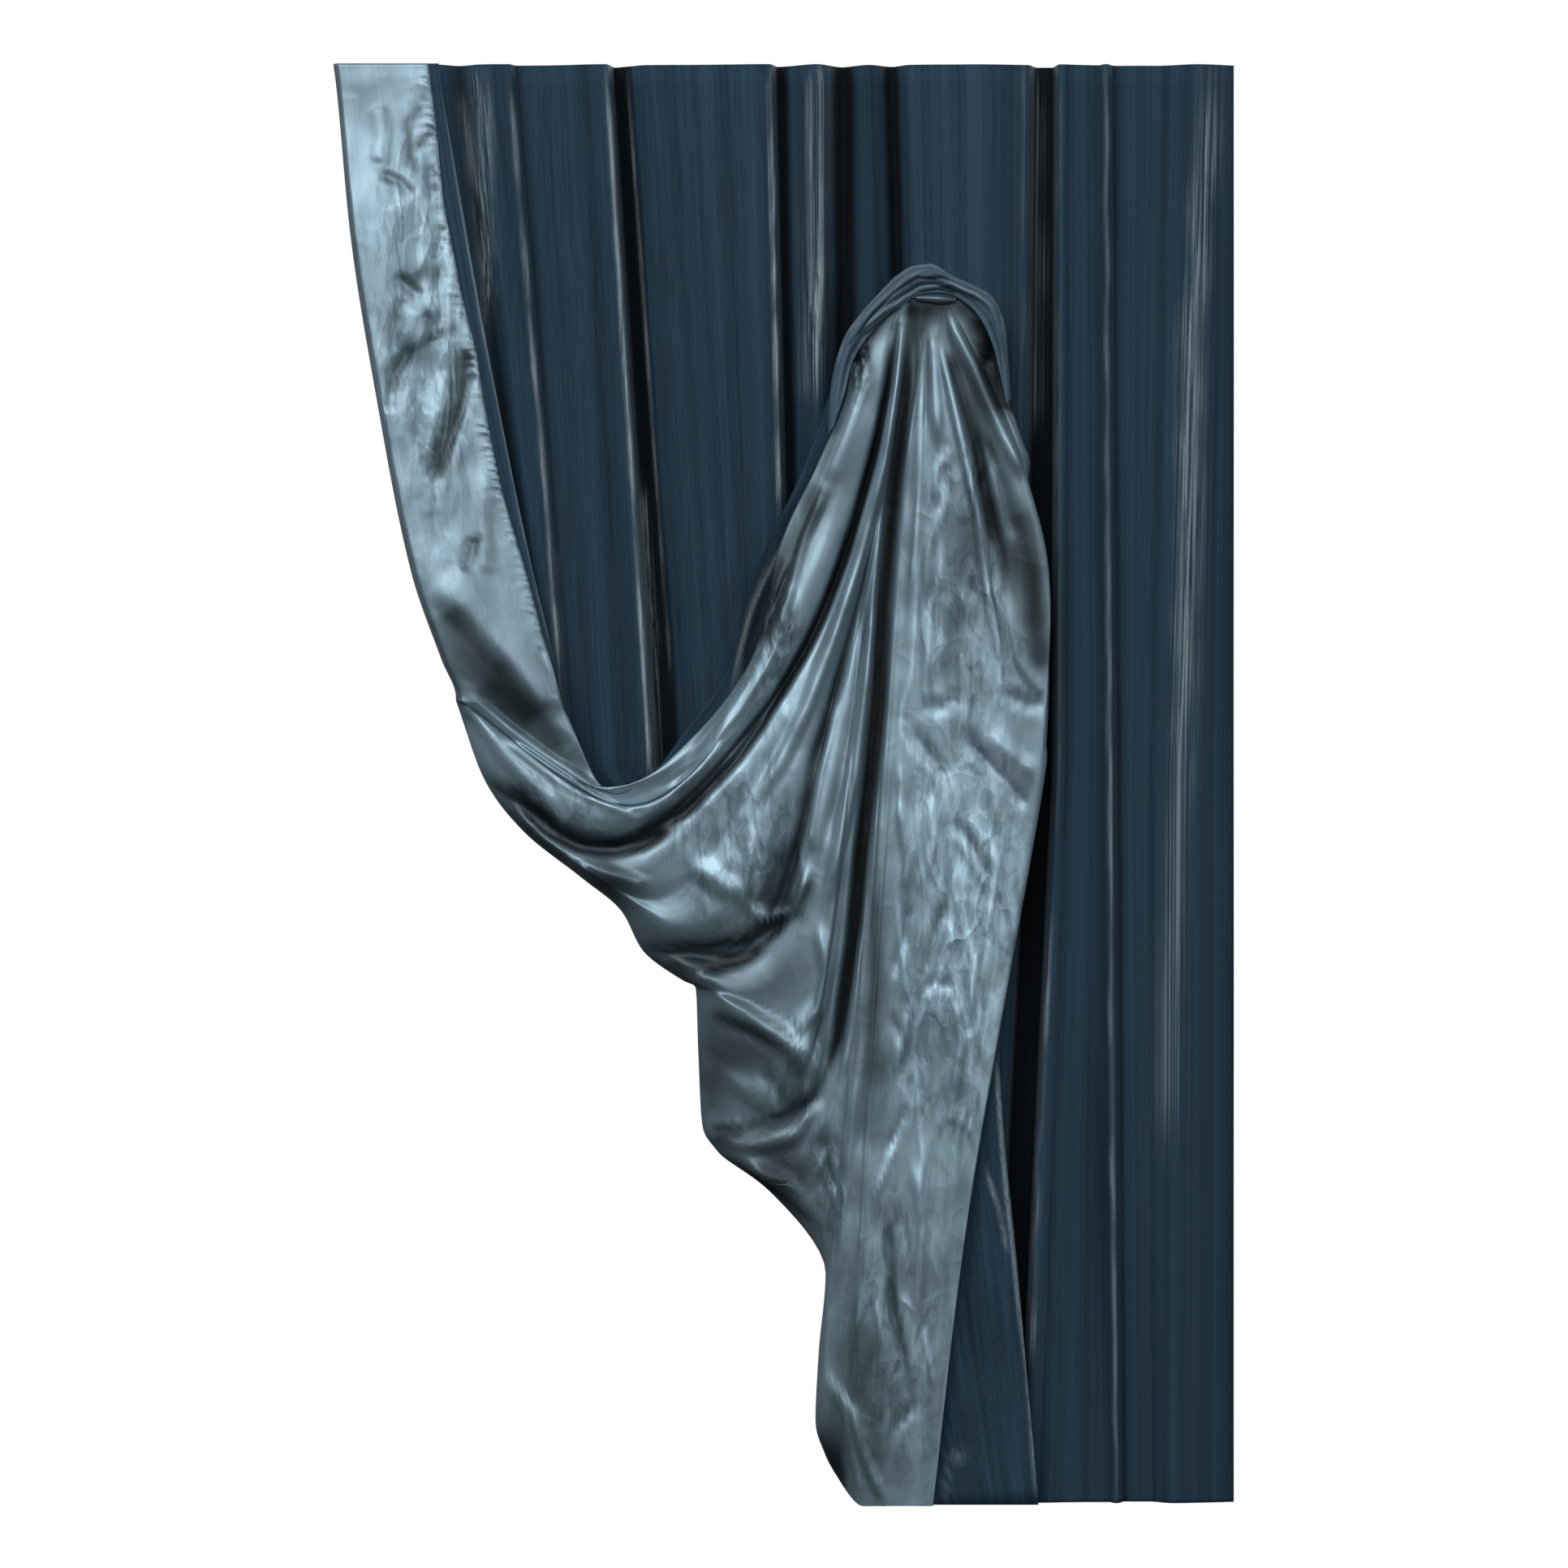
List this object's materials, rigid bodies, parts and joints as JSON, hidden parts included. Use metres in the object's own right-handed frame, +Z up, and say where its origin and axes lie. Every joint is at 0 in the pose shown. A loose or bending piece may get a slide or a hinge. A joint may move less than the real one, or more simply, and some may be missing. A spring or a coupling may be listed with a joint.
{
  "type": "lined velvet drape with tieback",
  "caption": "Hanging velvet drape whose leading edge is turned to the front, showing its satin lining, and caught up in a swag and tail by a velvet tieback.",
  "frame": {"origin": "middle of the drape's top edge", "axes": "+Z up, +X to the viewer's right across the width, -Y towards the front that faces the room"},
  "size_m": [1.3309, 0.1494, 2.1261],
  "materials": {
    "velvet": "crushed velvet pile",
    "satin": "glossy satin weave",
    "tie_velvet": "velvet pile"
  },
  "bodies": {
    "root": {"velvet_panel": "velvet", "satin_lining": "satin", "tieback": "tie_velvet"}
  },
  "joints": []
}
